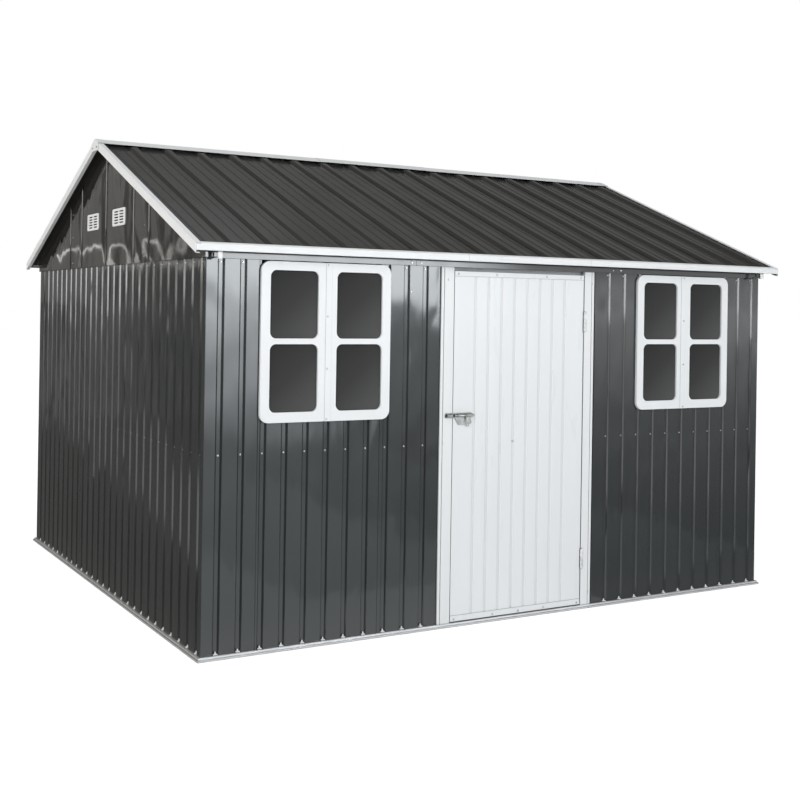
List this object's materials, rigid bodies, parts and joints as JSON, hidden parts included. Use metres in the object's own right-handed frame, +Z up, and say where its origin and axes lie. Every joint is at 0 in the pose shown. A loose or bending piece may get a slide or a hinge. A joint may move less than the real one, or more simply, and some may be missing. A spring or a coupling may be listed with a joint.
{
  "type": "metal storage shed",
  "caption": "Gable-roofed storage shed of ribbed steel sheet on folded rails, with a hinged front door, barrel bolt, fixed four-light windows and louvred gable vents.",
  "frame": {"origin": "centre of the base, on the ground", "axes": "+X to the right along the front wall, +Y from the front wall to the back wall, +Z up"},
  "size_m": [3.355, 2.884, 2.3085],
  "materials": {
    "rail_white": "bright galvanised",
    "zinc_frame": "galvanised",
    "eave_grey": "semi-gloss dark grey paint",
    "wall_grey": "gloss dark grey paint",
    "trim_white": "gloss off-white paint",
    "head_grey": "satin grey paint",
    "window_white": "moulded white",
    "pane_grey": "dark tinted sheet, satin",
    "gable_dark": "gloss dark grey paint",
    "vent_white": "moulded white",
    "roof_grey": "satin dark grey paint",
    "door_white": "satin off-white paint",
    "hinge_steel": "zinc plated",
    "bolt_steel": "zinc plated, dulled"
  },
  "bodies": {
    "shed": {"base_rail_front": "rail_white", "base_rail_back": "rail_white", "base_rail_left": "rail_white", "base_rail_right": "rail_white", "corner_posts": "zinc_frame", "eave_rail_front": "eave_grey", "eave_rail_back": "eave_grey", "side_rail_left": "eave_grey", "side_rail_right": "eave_grey", "wall_girts": "zinc_frame", "front_wall_left": "wall_grey", "front_wall_right": "wall_grey", "back_wall": "wall_grey", "left_wall": "wall_grey", "right_wall": "wall_grey", "door_jamb_left": "trim_white", "door_jamb_right": "trim_white", "door_head": "head_grey", "window_left_frame_outer": "window_white", "window_left_frame_inner": "window_white", "window_left_panes": "pane_grey", "window_right_frame_outer": "window_white", "window_right_frame_inner": "window_white", "window_right_panes": "pane_grey", "gable_left": "gable_dark", "gable_right": "gable_dark", "gable_vents_left": "vent_white", "gable_vents_right": "vent_white", "rafters": "zinc_frame", "roof_beams": "zinc_frame", "roof_front": "roof_grey", "roof_back": "roof_grey", "ridge_cap": "trim_white", "ridge_end_plates": "trim_white", "fascia_front": "trim_white", "fascia_back": "trim_white", "rake_trim_left": "trim_white", "rake_trim_right": "trim_white", "eave_brackets": "trim_white", "hinge_jamb_plates": "hinge_steel", "hinge_pins": "bolt_steel", "bolt_keeper": "bolt_steel"},
    "door": {"door_sheet": "door_white", "door_stiles": "zinc_frame", "door_rails": "door_white", "hinge_door_plates": "hinge_steel", "bolt_barrel": "bolt_steel"},
    "bolt": {"bolt": "bolt_steel"}
  },
  "joints": [
    {"name": "door_hinge", "type": "hinge", "parent": "shed", "child": "door", "pos_m": [0.3835, -1.3846, 0.831], "axis": [0, 0, 1], "range_deg": [0, 160]},
    {"name": "bolt_slide", "type": "slide", "parent": "door", "child": "bolt", "axis": [-1, 0, 0], "range_m": [0, 0.05]}
  ]
}
